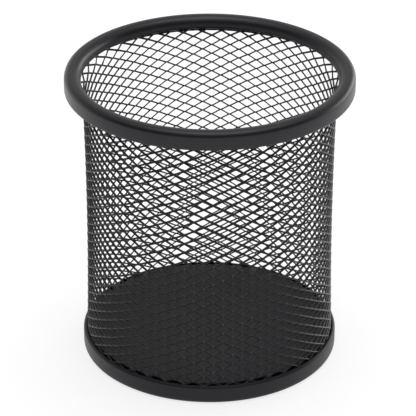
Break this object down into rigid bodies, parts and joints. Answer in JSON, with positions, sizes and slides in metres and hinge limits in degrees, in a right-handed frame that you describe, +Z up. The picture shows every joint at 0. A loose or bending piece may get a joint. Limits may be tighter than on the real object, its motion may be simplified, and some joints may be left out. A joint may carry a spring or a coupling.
{
  "type": "pen holder cup",
  "caption": "Round open-topped pen holder cup of black expanded metal mesh, with a wide rolled rim ring and a low base ring round a solid floor.",
  "frame": {"origin": "on the cup's axis, in the plane of the base ring's foot that the cup stands on", "axes": "+Z up along the cup's axis, towards the open mouth; +X and +Y are any two directions square to it, as the cup is round"},
  "size_m": [0.094, 0.094, 0.1],
  "materials": {
    "mesh_coat": "black powder coat, satin, over expanded steel sheet",
    "rim_coat": "black powder coat, satin, fine orange peel",
    "base_coat": "black powder coat, satin, fine orange peel",
    "floor_coat": "black powder coat, satin, fine orange peel"
  },
  "bodies": {
    "root": {"mesh_wall": "mesh_coat", "rim_ring": "rim_coat", "base_ring": "base_coat", "floor_disc": "floor_coat"}
  },
  "joints": []
}
